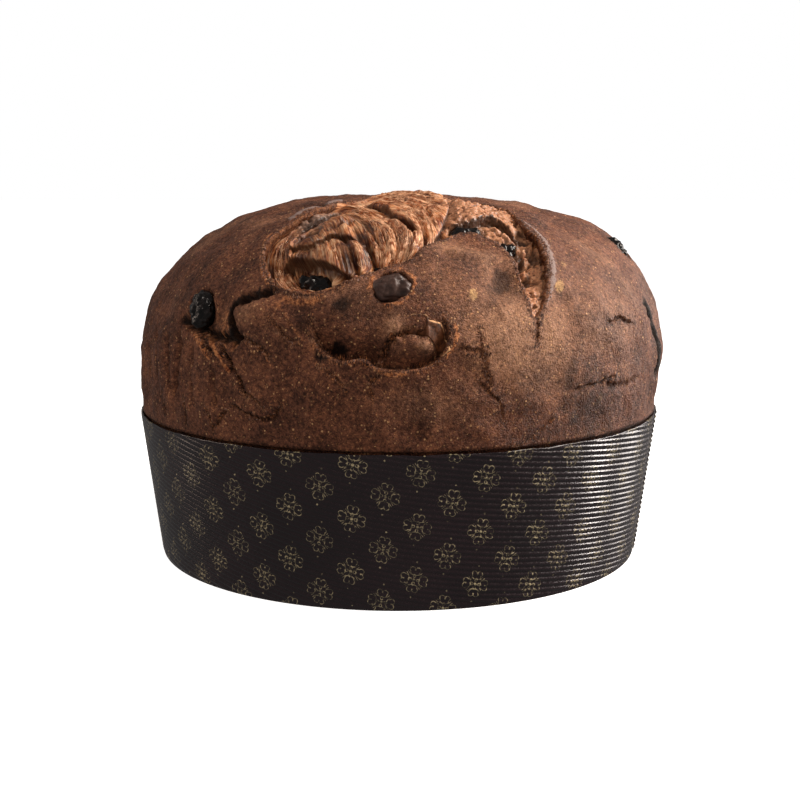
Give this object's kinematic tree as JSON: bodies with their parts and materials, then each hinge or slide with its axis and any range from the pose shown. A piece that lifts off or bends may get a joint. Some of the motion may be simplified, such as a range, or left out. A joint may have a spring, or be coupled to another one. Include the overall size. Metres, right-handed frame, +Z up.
{
  "type": "chocolate panettone in a paper case",
  "caption": "Low domed chocolate panettone with raisins and a scored top that has torn open, in its round dark case of fluted paper board.",
  "frame": {"origin": "centre of the case's underside, on the surface it stands on", "axes": "+Z up, -Y towards the front, where the torn top opens"},
  "size_m": [0.2265, 0.2274, 0.1554],
  "materials": {
    "crust": "matte",
    "board": "satin",
    "raisin": "satin",
    "chocolate": "satin"
  },
  "bodies": {
    "root": {"case": "board", "loaf": "crust", "raisin_left": "raisin", "raisin_in_tear": "raisin", "raisin_in_slit": "raisin", "raisin_top": "raisin", "raisin_right_pocket": "raisin", "raisin_front": "chocolate", "raisin_right": "raisin", "raisin_back_left": "raisin", "raisin_back_right": "raisin", "raisin_back": "raisin", "raisin_far_left": "raisin"}
  },
  "joints": []
}
